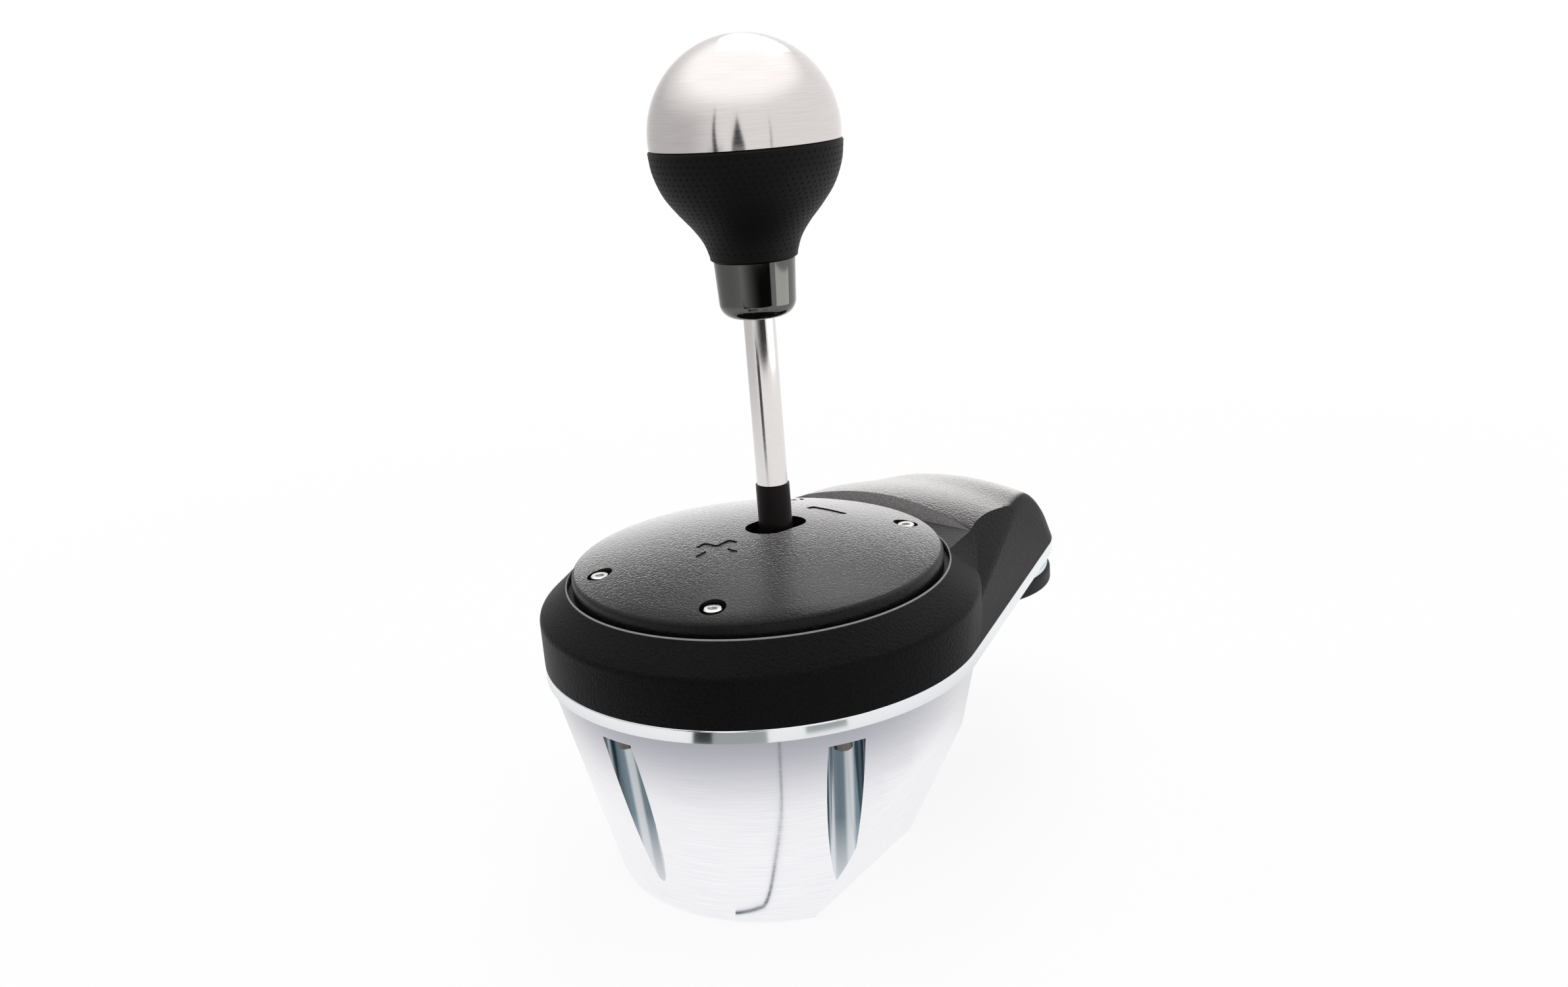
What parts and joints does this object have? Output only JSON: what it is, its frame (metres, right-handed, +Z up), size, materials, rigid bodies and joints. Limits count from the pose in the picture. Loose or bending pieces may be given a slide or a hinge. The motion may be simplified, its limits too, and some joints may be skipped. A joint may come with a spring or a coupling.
{
  "type": "gear shifter",
  "caption": "Sequential gear shifter for driving games: ball knob on a steel stick, domed plate in a teardrop housing, cast alloy bowl and a padded foot under the tail.",
  "frame": {"origin": "on the round housing's axis, in the bowl's flat bottom face", "axes": "+Z up, +Y back along the tail, +X to the driver's right"},
  "size_m": [0.12, 0.179, 0.2208],
  "materials": {
    "dome_metal": "fine circular brushing",
    "black_leather": "matt, finely perforated",
    "black_gloss": "smooth gloss",
    "polished_steel": "polished",
    "sleeve_black": "matt",
    "grained_black": "fine moulded grain",
    "cast_alloy": "brushed round the bowl, polished at the flange",
    "foot_metal": "polished",
    "black_rubber": "matt",
    "screw_steel": "bright",
    "machined_alloy": "machined",
    "lever_steel": "turned",
    "bronze": "turned",
    "spring_steel": "drawn wire",
    "slide_plastic": "smooth",
    "dark_plastic": "matt",
    "port_metal": "plated",
    "board_green": "lacquered",
    "flex_amber": "smooth film"
  },
  "bodies": {
    "housing": {"top_housing": "grained_black", "shift_plate": "grained_black", "body_shell": "cast_alloy", "tail_foot": "foot_metal", "foot_pad": "black_rubber", "plate_screws": "screw_steel", "housing_screws": "screw_steel", "foot_screws": "screw_steel", "chassis_screws": "screw_steel", "cheek_screws": "screw_steel", "bracket_screws": "screw_steel", "board_screws": "screw_steel", "port_screws": "screw_steel", "chassis_plate": "machined_alloy", "cheek_left": "machined_alloy", "cheek_right": "machined_alloy", "spring_bracket": "machined_alloy", "board_standoffs": "machined_alloy", "pivot_bushes": "bronze", "bracket_bush": "bronze", "spring_front": "spring_steel", "spring_rear": "spring_steel", "guide_rails": "slide_plastic", "friction_shoe": "slide_plastic", "port_plate": "dark_plastic", "link_socket": "dark_plastic", "hall_sensor": "dark_plastic", "usb_socket": "port_metal", "sensor_board": "board_green", "port_board": "board_green", "flex_cable": "flex_amber"},
    "stick": {"knob_cap": "dome_metal", "knob_grip": "black_leather", "knob_collar": "black_gloss", "knob_core": "machined_alloy", "stick_shaft": "polished_steel", "stick_sleeve": "sleeve_black", "slot_shield": "dark_plastic", "pivot_hub": "machined_alloy", "pivot_pin": "polished_steel", "pin_clips": "screw_steel", "hub_set_screw": "screw_steel", "lever_tail": "lever_steel"},
    "shuttle": {"shuttle_block": "slide_plastic", "shuttle_rod": "polished_steel", "rod_washer": "screw_steel", "rod_nut": "screw_steel", "magnet_holder": "slide_plastic", "magnet": "port_metal"},
    "adjuster": {"tension_screw": "screw_steel"}
  },
  "joints": [
    {"name": "stick_tilt", "type": "hinge", "parent": "housing", "child": "stick", "pos_m": [0, 0.008, 0.054], "axis": [1, 0, 0], "range_deg": [-6.4, 6.4], "stiffness_Nm_per_rad": 12},
    {"name": "shuttle_slide", "type": "slide", "parent": "housing", "child": "shuttle", "axis": [0, 1, 0], "range_m": [-0.0031, 0.0031], "deforming": ["spring_rear", "spring_front"]},
    {"name": "tension_turn", "type": "hinge", "parent": "housing", "child": "adjuster", "pos_m": [0, 0.0205, 0.054], "axis": [0, 1, 0], "range_deg": [-180, 180]}
  ],
  "couplings": [
    {"joint": "shuttle_slide", "follows": "stick_tilt", "m_per_rad": 0.026}
  ]
}
